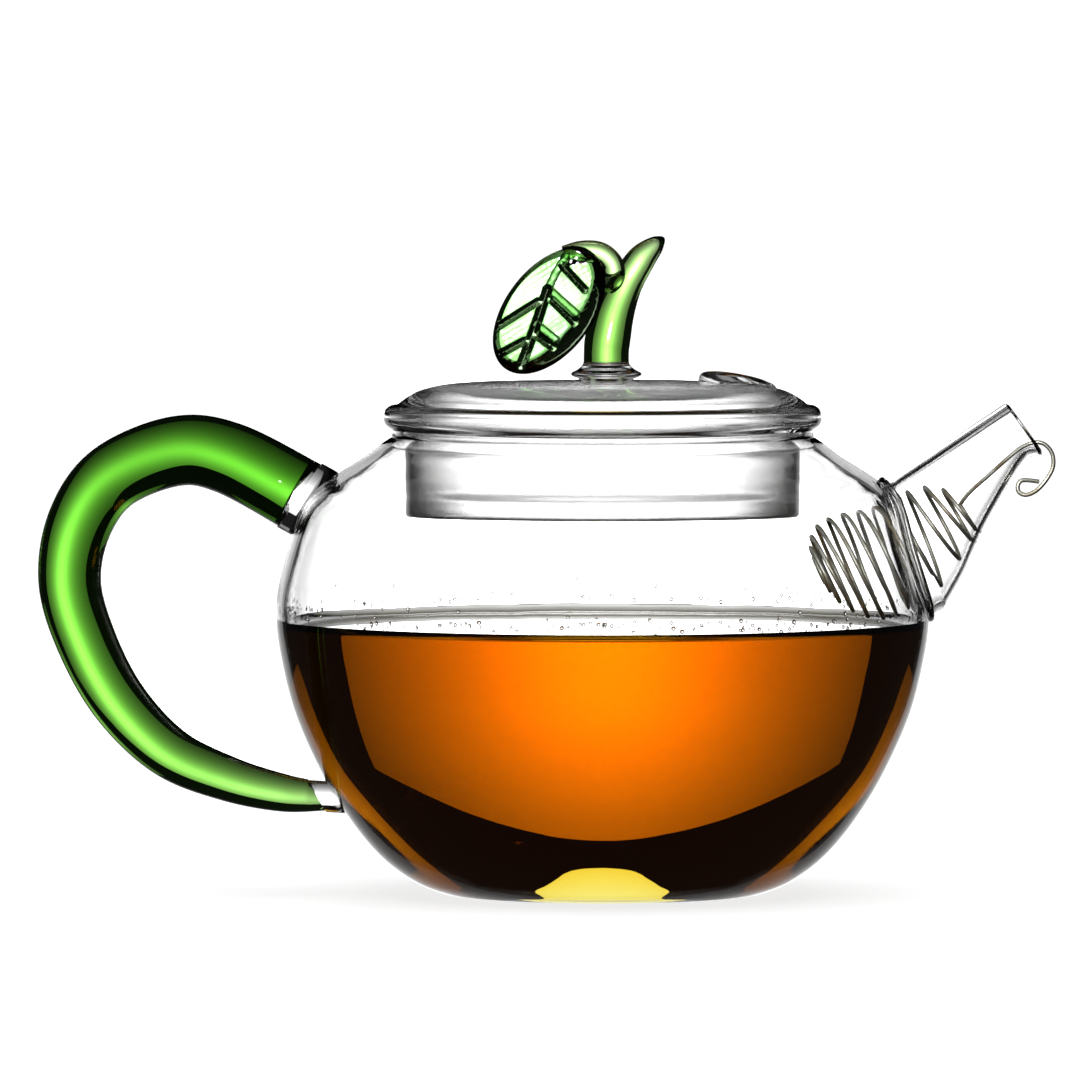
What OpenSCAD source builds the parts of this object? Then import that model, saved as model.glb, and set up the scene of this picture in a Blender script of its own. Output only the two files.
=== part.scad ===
// Glass teapot: blown bowl, hollow spout with a wire strainer, rod handle and a lid with a leaf knob.
// Millimetres. The origin is the centre of the standing ring, +Z is up and the spout points along +X.

/* [Pot body] */
// Greatest outer radius of the bowl
body_r = 45; // [44.5:0.1:45.5]
// Height of the mouth rim above the table
rim_z = 63.7; // [63.2:0.1:64]
// Outer radius of the mouth rim
rim_r = 29.1; // [28.9:0.1:29.4]
// Thickness of the bowl's wall
wall = 1.7; // [1.5:0.05:1.8]
// Inner radius of the ring that the pot stands on
ring_in_r = 16; // [14:0.5:17]
// Outer radius of the ring that the pot stands on
ring_out_r = 21; // [20:0.5:21.5]
// Rise of the hollow under the base
punt_h = 4.6; // [3:0.1:6]

/* [Spout] */
// Outer diameter of the spout where it leaves the bowl
spout_root_d = 19.3; // [19:0.1:19.5]
// Outer diameter of the spout at its mouth
spout_mouth_d = 8.7; // [8.5:0.1:9]
// Thickness of the spout's wall
spout_wall = 1; // [0.9:0.05:1.05]
// Height of the middle of the spout's root
spout_root_z = 47.75; // [47.5:0.05:48]
// Slope of the spout at its root, in degrees above level
spout_root_tilt = 21; // [20:0.5:22]
// Slope of the spout at its mouth, in degrees above level
spout_mouth_tilt = 36; // [35:0.5:37]
// Radius of the fused seam round the spout's root
spout_seam_r = 0.7; // [0.5:0.1:1]

/* [Handle] */
// Thickest diameter of the handle, at its upper joint
handle_d = 10.3; // [9.5:0.1:11]
// Reach of the handle's centre line from the bowl's axis
handle_reach = 73.2; // [72:0.2:76]
// Height of the handle's upper joint on the bowl
handle_top_z = 54.5; // [54:0.1:55]
// Height of the handle's lower joint on the bowl
handle_low_z = 13.2; // [12.8:0.1:13.6]
// Thickness of the clear glass between the handle and the bowl
handle_weld_t = 2.1; // [1.5:0.1:2.5]

/* [Lid] */
// Height of the lid's crown above the rim
lid_rise = 6.7; // [6.2:0.1:7.2]
// Greatest radius of the lid's rolled edge
lid_edge_r = 30.2; // [30:0.1:30.5]
// Depth of the lid's skirt below the rim
skirt_drop = 11.3; // [9:0.1:12]
// Thickness of the lid's glass
lid_wall = 1.8; // [1.5:0.1:2.2]
// Running gap between the skirt and the rim, on the radius
lid_gap = 0.3; // [0.2:0.05:0.5]
// Radius of the vent hole
vent_r = 2.2; // [1.8:0.1:2.6]
// Distance of the vent hole from the lid's centre
vent_x = 18.6; // [17.5:0.1:19]

/* [Knob] */
// Radius of the stem at its foot
stem_r = 3.15; // [3:0.05:3.3]
// Height of the clear foot under the stem
foot_h = 2.6; // [2.2:0.1:3]
// Length of the leaf
leaf_l = 20; // [19.5:0.1:20.5]
// Width of the leaf
leaf_w = 11.9; // [11.5:0.1:12.2]
// Thickness of the leaf
leaf_t = 3; // [2.6:0.1:3.2]
// Lean of the leaf's long axis, in degrees above level
leaf_lean = 52; // [50:1:55]

/* [Strainer] */
// Diameter of the strainer's wire
wire_d = 0.6; // [0.5:0.05:0.7]

/* [Hidden] */

$fn = 120;
CLEAR = [0.86, 0.9, 0.9, 0.45];
GREEN = [0.2, 0.62, 0.16, 0.9];
STEEL = [0.42, 0.43, 0.38];
joint_gap = 0.01;                     // hairline between two pieces that are fused together
fit_gap = 0.05;                       // height at which the lid's edge rides over the rim
rod_sides = 24;
wire_sides = 8;

// The bowl's outline from the standing ring to just under the rim: parts of body_r and of rim_z
BOWL_SHAPE = [[0.5, 0.003], [0.585, 0.029], [0.68, 0.08], [0.771, 0.157], [0.861, 0.261],
              [0.942, 0.391], [0.987, 0.52], [1, 0.609], [0.989, 0.675], [0.96, 0.754],
              [0.924, 0.83], [0.878, 0.873], [0.811, 0.907], [0.731, 0.942], [0.676, 0.971]];

// ---- vectors, smooth curves and rings ----
function unit(v) = v / norm(v);
function ahead(tilt) = [cos(tilt), 0, sin(tilt)];
function above(tilt) = [-sin(tilt), 0, cos(tilt)];

// One point of the smooth curve that passes through a, b, c and d, at t between b and c
function between(a, b, c, d, t) =
    (2 * b + (c - a) * t + (2 * a - 5 * b + 4 * c - d) * t * t + (3 * b - a - 3 * c + d) * t * t * t) / 2;

// The smooth curve through a list of points, with a number of steps in each gap
function smooth(pts, steps) = let (last = len(pts) - 1) [
    for (i = [0:last - 1], k = [0:steps - 1])
        between(pts[max(i - 1, 0)], pts[i], pts[i + 1], pts[min(i + 2, last)], k / steps),
    pts[last]
];

// Direction of a path at its point i
function heading(path, i) = unit(path[min(i + 1, len(path) - 1)] - path[max(i - 1, 0)]);

// A circle of points round a centre, whose first point lies along up
function ring(centre, dir, up, r, sides) = let (v = unit(cross(dir, up)), u = cross(v, dir)) [
    for (j = [0:sides - 1]) centre + r * (cos(360 * j / sides) * u + sin(360 * j / sides) * v)
];

// A flat outline moved inwards by a distance, square to itself
function inset(line, by) = [for (i = [0:len(line) - 1])
    let (d = heading(line, i)) line[i] + by * [-d[1], d[0]]];

// The solid between rings of points: closed on itself, or capped at both ends
module skin(rings, closed = false) {
    n = len(rings[0]);
    m = len(rings);
    sides = [for (i = [0:(closed ? m - 1 : m - 2)], j = [0:n - 1])
        let (a = i * n, b = ((i + 1) % m) * n, k = (j + 1) % n)
            each [[a + j, b + j, a + k], [a + k, b + j, b + k]]];
    caps = closed ? [] : [[for (j = [0:n - 1]) j], [for (j = [n - 1:-1:0]) (m - 1) * n + j]];
    polyhedron([for (r = rings) each r], concat(sides, caps));
}

// A round rod along points [x, y, z, radius], whose rings stand square to the XZ plane
module rod(line, sides) {
    path = [for (p = line) [p[0], p[1], p[2]]];
    skin([for (i = [0:len(path) - 1]) let (d = heading(path, i))
        ring(path[i], d, [-d[2], 0, d[0]], line[i][3], sides)]);
}

// One mesh of its children, for cuts between swept shapes
module merged() resize([0, 0, 0]) children();

// ---- bowl ----
bowl_line = concat([[0, punt_h], [ring_in_r * 0.45, punt_h * 0.86], [ring_in_r * 0.8, punt_h * 0.4]],
                   [[ring_in_r, 0], [ring_out_r, 0]],
                   smooth([for (p = BOWL_SHAPE) [p[0] * body_r, p[1] * rim_z]], 3),
                   [[rim_r, rim_z - 1], [rim_r, rim_z]]);
wall_table = [for (p = bowl_line) if (p[0] > ring_out_r) [p[1], p[0]]];

// Outer radius of the bowl at a height
function bowl_r(z) = lookup(z, wall_table);

// The point where a line from p along -dir meets the bowl's outside
function on_bowl(p, dir, tries = 8) = tries == 0 ? p
    : on_bowl(p - dir * (norm([p[0], p[1]]) - bowl_r(p[2])), dir, tries - 1);

// The bowl filled solid and grown outwards, to trim what is fused on to it
module bowl_trim(grow = joint_gap) {
    side = [for (p = inset(bowl_line, -grow))
        if (p[0] >= ring_out_r && p[1] < rim_z - 2) [p[0] + 0.01, p[1]]];
    rotate_extrude($fn = 180) polygon(concat([[0, side[0][1]]], side, [[0, side[len(side) - 1][1]]]));
}

// A bead of glass along the seam where a rod or tube of radius r meets the bowl
module seam_bead(centre, tilt, r, bead) {
    n = 40;
    path = [for (i = [0:n - 1]) let (a = 360 * i / n)
        on_bowl(centre + r * (cos(a) * above(tilt) + sin(a) * [0, 1, 0]), ahead(tilt))];
    skin([for (i = [0:n - 1]) let (d = unit(path[(i + 1) % n] - path[(i + n - 1) % n]))
        ring(path[i], d, ahead(tilt), bead, 10)], closed = true);
}

module pot_body() {
    root = [bowl_r(spout_root_z), 0, spout_root_z];
    inside = [for (i = [len(bowl_line) - 1:-1:1]) inset(bowl_line, wall)[i]];
    color(CLEAR) difference() {
        rotate_extrude() polygon(concat(bowl_line, inside, [[0, punt_h + wall]]));
        translate(root) rotate([0, 90 - spout_root_tilt, 0]) translate([0, 0, -6])
            cylinder(r = spout_bore_r, h = 14);
    }
}

// ---- spout ----
spout_bore_r = spout_root_d / 2 - spout_wall - 0.1;
spout_root = [bowl_r(spout_root_z) - 0.1, 0, spout_root_z];
spout_mouth = spout_root + [14.65, 0, 16];
// Points of the spout's lower edge after its root: along X, along Z and the matching part of the upper edge
SPOUT_LOW = [[0, 0, 0], [2.7, 4.8, 0.2], [5.6, 11.1, 0.45], [9.3, 17.5, 0.72], [11.7, 20.9, 0.89]];
top_root = spout_root + spout_root_d / 2 * above(spout_root_tilt);
low_root = spout_root - spout_root_d / 2 * above(spout_root_tilt);
top_mouth = spout_mouth + spout_mouth_d / 2 * above(spout_mouth_tilt);
low_mouth = spout_mouth - spout_mouth_d / 2 * above(spout_mouth_tilt);

// The spout's upper edge is straight and its lower edge bends, then flares at the lip
function top_edge(t) = (1 - t) * top_root + t * top_mouth;
low_line = smooth(concat([for (p = SPOUT_LOW) low_root + [p[0], 0, p[1]]], [low_mouth]), 3);
low_parts = smooth(concat([for (p = SPOUT_LOW) [p[2]]], [[1]]), 3);

// Rings of the spout, thinned by a wall, with a first ring sunk into the bowl
function spout_rings(thin) = [for (k = [-1:len(low_line) - 1])
    let (top = top_edge(low_parts[max(k, 0)][0]), low = low_line[max(k, 0)], up = unit(top - low),
         dir = [up[2], 0, -up[0]], centre = (top + low) / 2 - (k < 0 ? 5 : 0) * dir)
        ring(centre, dir, up, norm(top - low) / 2 - thin, 36)];

function reversed(list) = [for (i = [len(list) - 1:-1:0]) list[i]];

module spout() {
    color(CLEAR) merged() difference() {
        skin(concat(spout_rings(0), reversed(spout_rings(spout_wall))), closed = true);
        bowl_trim();
    }
}

module spout_weld() {
    color(CLEAR) merged() difference() {
        seam_bead(spout_root, spout_root_tilt, spout_root_d / 2 + 0.2, spout_seam_r);
        bowl_trim();
        skin(spout_rings(-joint_gap));
    }
}

// ---- handle ----
// Points of the handle's centre line: part of the reach, height, part of the thickest diameter
HANDLE_SHAPE = [[0.7, 59.7, 0.97], [0.8, 60.7, 0.94], [0.918, 57.2, 0.91], [0.98, 51, 0.89],
                [1, 43, 0.85], [0.97, 34.8, 0.82], [0.908, 26.3, 0.77], [0.816, 19.4, 0.7],
                [0.706, 15.7, 0.61], [0.6, 13.7, 0.51]];
handle_upper = [-bowl_r(handle_top_z) - 0.8, 0, handle_top_z, handle_d / 2];
handle_lower = [-bowl_r(handle_low_z) - 1.3, 0, handle_low_z, handle_d * 0.19];
handle_line = smooth(concat([handle_upper + [3.5, 0, -2.6, 0], handle_upper],
                            [for (p = HANDLE_SHAPE) [-p[0] * handle_reach, 0, p[1], p[2] * handle_d / 2]],
                            [handle_lower, handle_lower + [5, 0, -0.2, 0]]), 4);

module handle() {
    color(GREEN) merged() difference() {
        rod(handle_line, rod_sides);
        bowl_trim(handle_weld_t + joint_gap);
    }
}

// Clear glass that joins the handle's end to the bowl, a little fatter than the handle
module handle_weld(line) {
    color(CLEAR) merged() difference() {
        intersection() {
            rod([for (p = line) p + [0, 0, 0, 0.2]], rod_sides);
            bowl_trim(handle_weld_t);
        }
        bowl_trim();
    }
}

module handle_upper_weld() {
    handle_weld([for (i = [0:12]) handle_line[i]]);
}

module handle_lower_weld() {
    last = len(handle_line) - 1;
    handle_weld([for (i = [last - 9:last]) handle_line[i]]);
}

// ---- lid ----
crown_z = rim_z + lid_rise;
skirt_r = rim_r - wall - lid_gap;

module lid() {
    top = smooth([[0, crown_z], [10, crown_z - 0.05], [18, crown_z - 0.25], [22, crown_z - 0.6],
                  [25, crown_z - 1.3], [lid_edge_r - 3.4, crown_z - 2.2],
                  [lid_edge_r - 2, crown_z - 3.2]], 3);
    edge = smooth([[lid_edge_r - 2, crown_z - 3.2], [lid_edge_r - 1.1, crown_z - 3.35],
                   [lid_edge_r - 0.3, crown_z - 3.95], [lid_edge_r, crown_z - 4.9],
                   [lid_edge_r - 0.15, crown_z - 5.9], [lid_edge_r - 0.9, rim_z + fit_gap]], 4);
    under = smooth([[skirt_r - lid_wall, crown_z - 6.5], [skirt_r - lid_wall - 0.3, crown_z - 4.9],
                    [skirt_r - lid_wall - 1.4, crown_z - 3.7], [skirt_r - lid_wall - 3.3, crown_z - 3],
                    [17, crown_z - lid_wall - 0.55], [10, crown_z - lid_wall - 0.2],
                    [0, crown_z - lid_wall]], 3);
    skirt_z = rim_z - skirt_drop;
    skirt = [[skirt_r, rim_z + fit_gap], [skirt_r, skirt_z + 0.5], [skirt_r - 0.5, skirt_z],
             [skirt_r - lid_wall + 0.5, skirt_z], [skirt_r - lid_wall, skirt_z + 0.5]];
    color(CLEAR) difference() {
        union() {
            rotate_extrude() polygon(concat(top, edge, skirt, under));
            vent_lip();
        }
        translate([vent_x, 0, crown_z - 6]) cylinder(r = vent_r, h = 10, $fn = 48);
    }
}

// The raised edge that the glass forms round the vent, highest on the knob's side
module vent_lip() {
    translate([vent_x, 0, crown_z - 0.35]) rotate([0, 10, 0]) rotate_extrude($fn = 48)
        polygon([[vent_r - 0.4, -1.2], [vent_r - 0.4, -0.5], [vent_r + 0.5, 0.1], [vent_r + 1.6, 0.35],
                 [vent_r + 2.7, 0.1], [vent_r + 3.3, -0.5], [vent_r + 3.4, -1.2]]);
}

// ---- knob ----
foot_z = crown_z + 0.02;
stem_z = foot_z + foot_h;
// Points of the stem: x, height above the foot and part of the foot's radius
STEM_SHAPE = [[0.5, 0, 1], [0.52, 1.6, 1], [0.75, 3.3, 1], [1.45, 6.4, 0.92], [2.6, 9.4, 0.79],
              [3.7, 11.6, 0.71], [5.4, 14.2, 0.63], [7.2, 16, 0.42], [8.1, 16.8, 0.2], [8.4, 17.1, 0.05]];
stem_line = smooth([for (p = STEM_SHAPE) [p[0], 0, stem_z + joint_gap + p[1], p[2] * stem_r]], 4);
LEAF_PLACE = [-7.35, -3.4, 9.7];       // middle of the leaf: x, y and height above the crown
// Points of the stalk: x, y, height above the crown and radius
STALK_SHAPE = [[-5.3, -3.2, 17.2, 1.4], [-2.9, -3, 17.7, 1.6], [-0.5, -2.6, 17.5, 1.65],
               [1.1, -2.2, 16.2, 1.65], [1.5, -2, 14.5, 1.6], [1, -1.8, 13.2, 1.4], [0.7, -1.6, 12.4, 0.9]];

module knob_foot() {
    color(CLEAR) translate([0.5, 0, foot_z]) rotate_extrude()
        polygon([[0, 0], [stem_r - 0.1, 0], [stem_r + 0.8, 0.5], [stem_r + 1.6, 0.9], [stem_r + 1.5, 1.1],
                 [stem_r + 0.6, 1.6], [stem_r, foot_h], [0, foot_h]]);
}

module knob_stem() {
    color(GREEN) rod(stem_line, rod_sides);
}

// A rounded slab with the leaf's oval outline: rows of the thickness from back to front
module knob_leaf() {
    half = leaf_t / 2;
    rows = [for (a = [-90:22.5:90]) [half * sin(a), half * (1 - cos(a))]];
    oval = function (y, cut) [for (j = [0:47]) let (a = 7.5 * j)
        LEAF_PLACE + [0, y, crown_z] + (leaf_l / 2 - cut) * cos(a) * ahead(leaf_lean)
            + (leaf_w / 2 - cut) * sin(a) * above(leaf_lean)];
    color(GREEN) skin([for (r = rows) oval(-r[0], r[1])]);
}

// The stalk is melted into the stem and the leaf, so it overlaps both
module leaf_stalk() {
    color(GREEN) rod(smooth([for (p = STALK_SHAPE) p + [0, 0, crown_z, 0]], 4), 16);
}

// ---- strainer: one wire, coiled in the bowl and the spout, with a leg that hooks over the mouth ----
// Stations of the coil: x, z, radius, turns so far and tilt
COIL_SHAPE = [[29.9, 44, 0.8, 0, 26], [30.1, 44.1, 3.3, 1.75, 26], [31.1, 44.2, 5.4, 3, 26],
              [32.5, 44.5, 6.9, 4, 26], [34.3, 44.9, 7.9, 5, 25], [36.3, 45.4, 8.2, 6, 24],
              [38.3, 46, 7.9, 7, 23], [40.3, 46.7, 7.6, 8, 22], [42.4, 47.5, 7.3, 9, 22],
              [45.4, 50.2, 5.9, 10.25, 31], [47.5, 52, 4.7, 11.25, 36], [49.2, 52.4, 3.5, 12.25, 35],
              [49.1, 53.2, 3.1, 12.75, 36]];
// Points of the leg, after the coil's last point
LEG_SHAPE = [[50.4, 2.3, 54.9], [52.8, 1.3, 57.1], [55.1, 0.5, 59.2], [56.5, 0.2, 60.4], [57.9, 0, 61.4],
             [59.1, 0, 61.9], [60.4, 0, 61.8], [61.4, 0, 61], [61.9, 0, 59.8], [61.8, 0, 58.3],
             [60.9, 0, 56.7], [59.6, 0, 55.3], [58.2, 0, 54.7], [57.2, 0.1, 55.1], [57.1, 0.2, 56.1],
             [57.8, 0.4, 56.7], [60, 0.7, 56.5]];
turn_steps = 18;

coil_turns = COIL_SHAPE[len(COIL_SHAPE) - 1][3];
coil_stations = smooth(COIL_SHAPE, 12);

// The coil's station after a number of turns
function coil_at(turns) = [for (c = [0, 1, 2, 4]) lookup(turns, [for (s = coil_stations) [s[3], s[c]]])];
function coil_axis(turns) = let (s = coil_at(turns)) [s[0], 0, s[1]];
function coil_out(turns) = let (a = 360 * turns) cos(a) * above(coil_at(turns)[3]) - sin(a) * [0, 1, 0];
function coil_point(turns) = coil_axis(turns) + coil_at(turns)[2] * coil_out(turns);

module wire(path, ups) {
    skin([for (i = [0:len(path) - 1]) ring(path[i], heading(path, i), ups[i], wire_d / 2, wire_sides)]);
}

module strainer_coil() {
    stops = [for (k = [0:turn_steps * coil_turns]) k / turn_steps];
    color(STEEL) wire([for (t = stops) coil_point(t)], [for (t = stops) coil_out(t)]);
}

module strainer_leg() {
    coil_end = coil_point(coil_turns);
    start = coil_end + 0.35 * unit(LEG_SHAPE[0] - coil_end);
    path = smooth(concat([start], LEG_SHAPE), 5);
    color(STEEL) wire(path, [for (p = path) [0, 1, 0.01]]);
}

pot_body();
spout();
spout_weld();
handle();
handle_upper_weld();
handle_lower_weld();
strainer_coil();
strainer_leg();
lid();
knob_foot();
knob_stem();
leaf_stalk();
knob_leaf();
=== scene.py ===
"""Glass teapot: blown bowl, fused spout and handle, ground lid with a leaf knob, wire strainer and tea."""

import sys

import logging
import math
import random
from dataclasses import dataclass
from enum import Enum
from typing import Sequence

import bmesh
import bpy
from mathutils import Matrix, Vector


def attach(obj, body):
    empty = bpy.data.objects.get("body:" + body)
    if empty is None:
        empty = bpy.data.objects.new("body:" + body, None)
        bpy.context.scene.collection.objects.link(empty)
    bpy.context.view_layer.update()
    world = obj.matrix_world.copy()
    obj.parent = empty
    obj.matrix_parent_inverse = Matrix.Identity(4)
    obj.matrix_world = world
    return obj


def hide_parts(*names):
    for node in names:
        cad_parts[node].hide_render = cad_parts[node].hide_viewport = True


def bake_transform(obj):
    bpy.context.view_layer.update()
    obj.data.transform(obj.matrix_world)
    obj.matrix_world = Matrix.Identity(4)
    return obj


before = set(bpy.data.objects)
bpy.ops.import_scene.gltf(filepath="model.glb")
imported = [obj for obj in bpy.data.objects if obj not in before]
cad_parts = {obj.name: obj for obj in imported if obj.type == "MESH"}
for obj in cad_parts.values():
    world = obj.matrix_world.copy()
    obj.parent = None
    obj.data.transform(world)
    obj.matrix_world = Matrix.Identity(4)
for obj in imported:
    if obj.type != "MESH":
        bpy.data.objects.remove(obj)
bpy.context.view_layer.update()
LOG = logging.getLogger("teapot")

MM = 0.001
Point = tuple[float, ...]
Y_AXIS = Vector((0, 1, 0))
SHARP_ANGLE = math.radians(38)
# The mesh attribute that says how much steam has settled on the glass, from 0 to 1
STEAM = "steam"


# ---------------------------------------------------------------- curves and outlines


def between(
    a: Sequence[float], b: Sequence[float], c: Sequence[float], d: Sequence[float], t: float
) -> Point:
    """Finds a point on the smooth curve through four points.

    Args:
        a, b, c, d: The four points, with the wanted stretch from b to c.
        t: How far along that stretch, from 0 to 1.

    Returns:
        The point, with as many numbers as the four have.
    """
    return tuple(
        (2 * q + (r - p) * t + (2 * p - 5 * q + 4 * r - s) * t * t + (3 * q - p - 3 * r + s) * t**3) / 2
        for p, q, r, s in zip(a, b, c, d)
    )


def smooth(points: Sequence[Sequence[float]], steps: int) -> list[Point]:
    """Draws a smooth curve through points.

    Args:
        points: The points that the curve passes through.
        steps: How many stretches each gap is divided into.

    Returns:
        The curve's points.
    """
    last = len(points) - 1
    curve = [
        between(points[max(i - 1, 0)], points[i], points[i + 1], points[min(i + 2, last)], k / steps)
        for i in range(last)
        for k in range(steps)
    ]
    return curve + [tuple(points[last])]


def inset(outline: Sequence[Point], by: float) -> list[Point]:
    """Moves a flat outline to its left by a distance, square to itself.

    Args:
        outline: The outline's points.
        by: The distance, in the outline's unit.

    Returns:
        The moved points.
    """
    moved, last = [], len(outline) - 1
    for i, (x, z) in enumerate(outline):
        ahead = Vector(outline[min(i + 1, last)]) - Vector(outline[max(i - 1, 0)])
        ahead.normalize()
        moved.append((x - by * ahead.y, z + by * ahead.x))
    return moved


def along(degrees: float) -> Vector:
    """The unit vector in the XZ plane that climbs by this angle."""
    return Vector((math.cos(math.radians(degrees)), 0, math.sin(math.radians(degrees))))


def above(degrees: float) -> Vector:
    """The unit vector in the XZ plane square to along() of the same angle."""
    return Vector((-math.sin(math.radians(degrees)), 0, math.cos(math.radians(degrees))))


def station(centre: Vector, ahead: Vector, up: Vector, radius: float) -> Matrix:
    """Places a ring of a swept shape.

    Args:
        centre: The ring's centre in millimetres.
        ahead: The direction of the sweep.
        up: Where the ring's first point lies.
        radius: The ring's radius in millimetres.

    Returns:
        The matrix that carries a unit circle there, in metres.
    """
    ahead = ahead.normalized()
    side = ahead.cross(up).normalized()
    turn = Matrix((side.cross(ahead), side, ahead)).transposed().to_4x4()
    return Matrix.Translation(centre * MM) @ turn @ Matrix.Scale(radius * MM, 4)


def stations_along(line: Sequence[Point], up: Vector) -> list[Matrix]:
    """Places rings along a path without twisting them.

    Args:
        line: Points x, y, z, radius in millimetres.
        up: Roughly where the first ring's first point lies.

    Returns:
        One matrix for each point.
    """
    rings, last = [], len(line) - 1
    for i, point in enumerate(line):
        ahead = Vector(line[min(i + 1, last)][:3]) - Vector(line[max(i - 1, 0)][:3])
        ahead.normalize()
        up = (up - up.dot(ahead) * ahead).normalized()
        rings.append(station(Vector(point[:3]), ahead, up, point[3]))
    return rings


# ---------------------------------------------------------------- meshes


def lathe(outline: Sequence[Point], steps: int) -> bmesh.types.BMesh:
    """Spins an outline round the Z axis.

    Args:
        outline: Points x, z in millimetres. It is closed unless it starts and ends on the axis.
        steps: Faces in a full turn.

    Returns:
        The closed mesh in metres, faces outwards.
    """
    bm = bmesh.new()
    verts = [bm.verts.new((x * MM, 0, z * MM)) for x, z in outline]
    pairs = list(zip(verts, verts[1:]))
    if outline[0][0] > 0 or outline[-1][0] > 0:
        pairs.append((verts[-1], verts[0]))
    edges = [bm.edges.new(pair) for pair in pairs]
    bmesh.ops.spin(
        bm, geom=verts + edges, cent=(0, 0, 0), axis=(0, 0, 1), angle=math.tau, steps=steps, use_merge=True
    )
    bmesh.ops.remove_doubles(bm, verts=bm.verts, dist=1e-7)
    bmesh.ops.recalc_face_normals(bm, faces=bm.faces)
    return bm


def sweep(rings: Sequence[Matrix], sides: int, closed: bool = False) -> bmesh.types.BMesh:
    """Draws a round skin over rings.

    Args:
        rings: One matrix for each ring, as station() gives.
        sides: Faces round each ring.
        closed: Whether the last ring is bridged to the first. If not, both ends are capped.

    Returns:
        The closed mesh in metres, faces outwards.
    """
    bm = bmesh.new()
    made = bmesh.ops.create_circle(bm, segments=sides, radius=1, matrix=rings[0])
    first = list({edge for vert in made["verts"] for edge in vert.link_edges})
    edges = first
    for before, now in zip(rings, rings[1:]):
        grown = bmesh.ops.extrude_edge_only(bm, edges=edges)["geom"]
        verts = [item for item in grown if isinstance(item, bmesh.types.BMVert)]
        edges = [item for item in grown if isinstance(item, bmesh.types.BMEdge)]
        edges = [edge for edge in edges if all(vert in set(verts) for vert in edge.verts)]
        bmesh.ops.transform(bm, matrix=now @ before.inverted(), verts=verts)
    if closed:
        bmesh.ops.bridge_loops(bm, edges=first + edges)
    else:
        for loop in (first, edges):
            bmesh.ops.contextual_create(bm, geom=loop)
    bmesh.ops.recalc_face_normals(bm, faces=bm.faces)
    return bm


def piece(name: str, bm: bmesh.types.BMesh) -> bpy.types.Object:
    """Turns a bmesh into an object at the origin.

    Args:
        name: The piece's name.
        bm: The mesh, which is freed.

    Returns:
        The object, smooth except over sharp edges.
    """
    mesh = bpy.data.meshes.new(name)
    bm.to_mesh(mesh)
    bm.free()
    shade(mesh)
    made = bpy.data.objects.new(name, mesh)
    bpy.context.scene.collection.objects.link(made)
    return made


def shade(mesh: bpy.types.Mesh) -> None:
    """Shades a mesh smooth except over sharp edges."""
    mesh.polygons.foreach_set("use_smooth", [True] * len(mesh.polygons))
    mesh.set_sharp_from_angle(angle=SHARP_ANGLE)


class Join(Enum):
    """How a second solid changes the first."""

    CUT = "DIFFERENCE"
    FUSE = "UNION"


def combine(target: bpy.types.Object, tool: bpy.types.Object, how: Join) -> None:
    """Cuts one piece with another or fuses them, and removes the second.

    Args:
        target: The piece that stays.
        tool: The piece that is used up.
        how: Cut or fuse.
    """
    modifier = target.modifiers.new(how.name.lower(), "BOOLEAN")
    modifier.operation, modifier.object, modifier.solver = how.value, tool, "EXACT"
    bpy.context.view_layer.update()
    shaped = bpy.data.meshes.new_from_object(target.evaluated_get(bpy.context.evaluated_depsgraph_get()))
    target.modifiers.remove(modifier)
    shaped.name, target.data = target.name, shaped
    bpy.data.objects.remove(tool)
    shade(shaped)


def triangles(made: bpy.types.Object) -> int:
    """Counts a piece's triangles."""
    return sum(len(face.vertices) - 2 for face in made.data.polygons)


# ---------------------------------------------------------------- finishes


def linear(colour: str) -> tuple[float, float, float, float]:
    """Turns an sRGB hex colour into the linear one that nodes take.

    Args:
        colour: Such as "#7FB24A".

    Returns:
        Red, green, blue and alpha.
    """
    parts = [int(colour[i : i + 2], 16) / 255 for i in (1, 3, 5)]
    bent = [c / 12.92 if c <= 0.04045 else ((c + 0.055) / 1.055) ** 2.4 for c in parts]
    return (*bent, 1.0)


def add_node(
    tree: bpy.types.NodeTree,
    kind: str,
    settings: dict[str, object] | None = None,
    links: dict[str | int, bpy.types.NodeSocket] | None = None,
) -> bpy.types.Node:
    """Adds a node with its settings and links.

    Args:
        tree: The node tree.
        kind: The node's type, without its first word ShaderNode.
        settings: Properties, or values of inputs, by name.
        links: Sockets that feed its inputs, by the input's name or number.

    Returns:
        The node.
    """
    node = tree.nodes.new("ShaderNode" + kind)
    for name, value in (settings or {}).items():
        if name in node.inputs:
            node.inputs[name].default_value = value
        else:
            setattr(node, name, value)
    for name, socket in (links or {}).items():
        tree.links.new(socket, node.inputs[name])
    return node


def new_material(name: str) -> tuple[bpy.types.Material, bpy.types.NodeTree, bpy.types.Node]:
    """Starts a material.

    Args:
        name: What the real material is called.

    Returns:
        The material, its empty tree and its output node.
    """
    material = bpy.data.materials.new(name)
    material.use_nodes = True
    tree = material.node_tree
    tree.nodes.clear()
    return material, tree, add_node(tree, "OutputMaterial")


@dataclass(frozen=True)
class Tint:
    """The colour that white light keeps after a depth of glass or liquid."""

    colour: str
    depth_mm: float

    def absorb(self, tree: bpy.types.NodeTree, output: bpy.types.Node) -> None:
        """Adds the absorption to a material.

        Args:
            tree: The material's nodes.
            output: Its output node.
        """
        lost = [-math.log(max(part, 1e-4)) / (self.depth_mm * MM) for part in linear(self.colour)[:3]]
        most = max(lost)
        volume = add_node(
            tree, "VolumeAbsorption", {"Color": (*[1 - part / most for part in lost], 1), "Density": most}
        )
        tree.links.new(volume.outputs[0], output.inputs["Volume"])


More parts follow.
